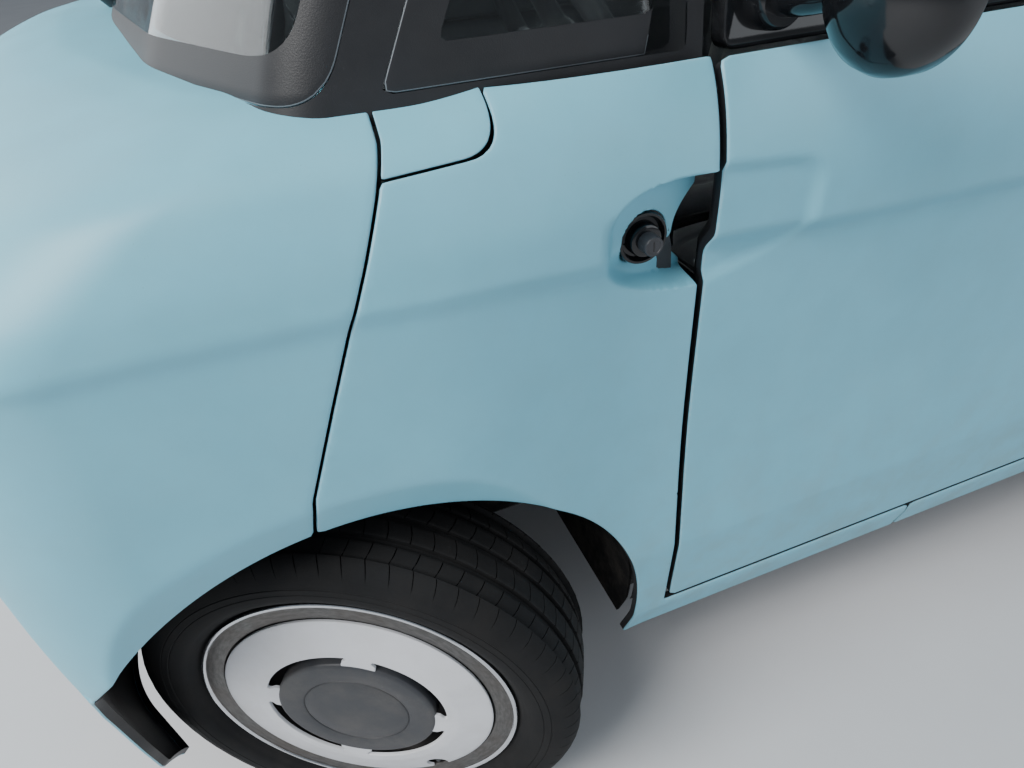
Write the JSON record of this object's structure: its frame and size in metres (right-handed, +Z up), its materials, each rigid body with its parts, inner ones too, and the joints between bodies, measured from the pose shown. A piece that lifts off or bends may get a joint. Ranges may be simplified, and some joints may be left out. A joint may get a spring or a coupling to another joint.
{
  "type": "closed electric microcar",
  "caption": "Small closed two-seat electric microcar with moulded panels, two opposed hinged doors, steered front wheels and a hollow cabin.",
  "frame": {"origin": "on the ground, under the middle of the car", "axes": "+X forward, +Y to the left, +Z up"},
  "size_m": [2.5354, 1.722, 1.5299],
  "materials": {
    "body_panel": "moulded satin aqua panel",
    "black_plastic": "grained black moulding",
    "tyre": "road rubber",
    "rim": "satin wheel with a polished edge",
    "wheel_cover": "satin off-white cover",
    "window": "tinted glass",
    "lamp": "clear lens",
    "seat_cloth": "woven seat cloth",
    "chassis_steel": "black chassis paint",
    "housing": "cast housing"
  },
  "bodies": {
    "root": {"arch_liners_front": "black_plastic", "arch_liners_rear": "black_plastic", "battery_box": "housing", "bulkheads": "black_plastic", "cabin_frame": "black_plastic", "chassis_rails": "chassis_steel", "corner_lids": "body_panel", "dashboard": "black_plastic", "door_hinges": "chassis_steel", "drive_unit": "housing", "floor_pan": "black_plastic", "front_fascia": "body_panel", "front_suspension": "chassis_steel", "headlamps": "lamp", "lock_buttons": "black_plastic", "quarter_front_left": "body_panel", "quarter_front_right": "body_panel", "quarter_rear_left": "body_panel", "quarter_rear_right": "body_panel", "rear_axle": "chassis_steel", "rear_fascia": "body_panel", "rear_window": "window", "roof_glass": "window", "seat_base_left": "black_plastic", "seat_base_right": "black_plastic", "seat_left": "seat_cloth", "seat_right": "seat_cloth", "side_windows": "window", "steering_wheel": "black_plastic", "tail_lamps": "lamp", "windscreen": "window", "wiper": "black_plastic"},
    "door_left": {"door_left_panel": "body_panel", "door_left_window": "window", "door_left_window_frame": "black_plastic", "mirror_left": "black_plastic"},
    "steer_left": {"knuckle_left": "chassis_steel"},
    "door_right": {"door_right_panel": "body_panel", "door_right_window": "window", "door_right_window_frame": "black_plastic", "mirror_right": "black_plastic"},
    "steer_right": {"knuckle_right": "chassis_steel"},
    "wheel_front_left": {"cover_front_left": "wheel_cover", "rim_front_left": "rim", "tyre_front_left": "tyre"},
    "wheel_front_right": {"cover_front_right": "wheel_cover", "rim_front_right": "rim", "tyre_front_right": "tyre"},
    "wheel_rear_left": {"cover_rear_left": "wheel_cover", "rim_rear_left": "rim", "tyre_rear_left": "tyre"},
    "wheel_rear_right": {"cover_rear_right": "wheel_cover", "rim_rear_right": "rim", "tyre_rear_right": "tyre"}
  },
  "joints": [
    {"name": "steer_left", "type": "hinge", "parent": "root", "child": "steer_left", "pos_m": [0.864, 0.553, 0.273], "axis": [0, 0, 1], "range_deg": [-5.2, 58.8]},
    {"name": "steer_right", "type": "hinge", "parent": "root", "child": "steer_right", "pos_m": [0.864, -0.553, 0.273], "axis": [0, 0, 1], "range_deg": [-5.2, 58.8]},
    {"name": "spin_front_left", "type": "hinge", "parent": "steer_left", "child": "wheel_front_left", "pos_m": [0.864, 0.553, 0.273], "axis": [0.4509, 0.8926, 0], "continuous": true},
    {"name": "spin_front_right", "type": "hinge", "parent": "steer_right", "child": "wheel_front_right", "pos_m": [0.864, -0.553, 0.273], "axis": [0.4509, 0.8926, 0], "continuous": true},
    {"name": "spin_rear_left", "type": "hinge", "parent": "root", "child": "wheel_rear_left", "pos_m": [-0.864, 0.553, 0.273], "axis": [0, 1, 0], "continuous": true},
    {"name": "spin_rear_right", "type": "hinge", "parent": "root", "child": "wheel_rear_right", "pos_m": [-0.864, -0.553, 0.273], "axis": [0, 1, 0], "continuous": true},
    {"name": "door_left_hinge", "type": "hinge", "parent": "root", "child": "door_left", "pos_m": [-0.476, 0.686, 0.545], "axis": [0, 0, 1], "range_deg": [0, 75]},
    {"name": "door_right_hinge", "type": "hinge", "parent": "root", "child": "door_right", "pos_m": [0.476, -0.686, 0.545], "axis": [0, 0, 1], "range_deg": [0, 75]}
  ],
  "couplings": [
    {"joint": "steer_right", "follows": "steer_left", "ratio": 1}
  ]
}
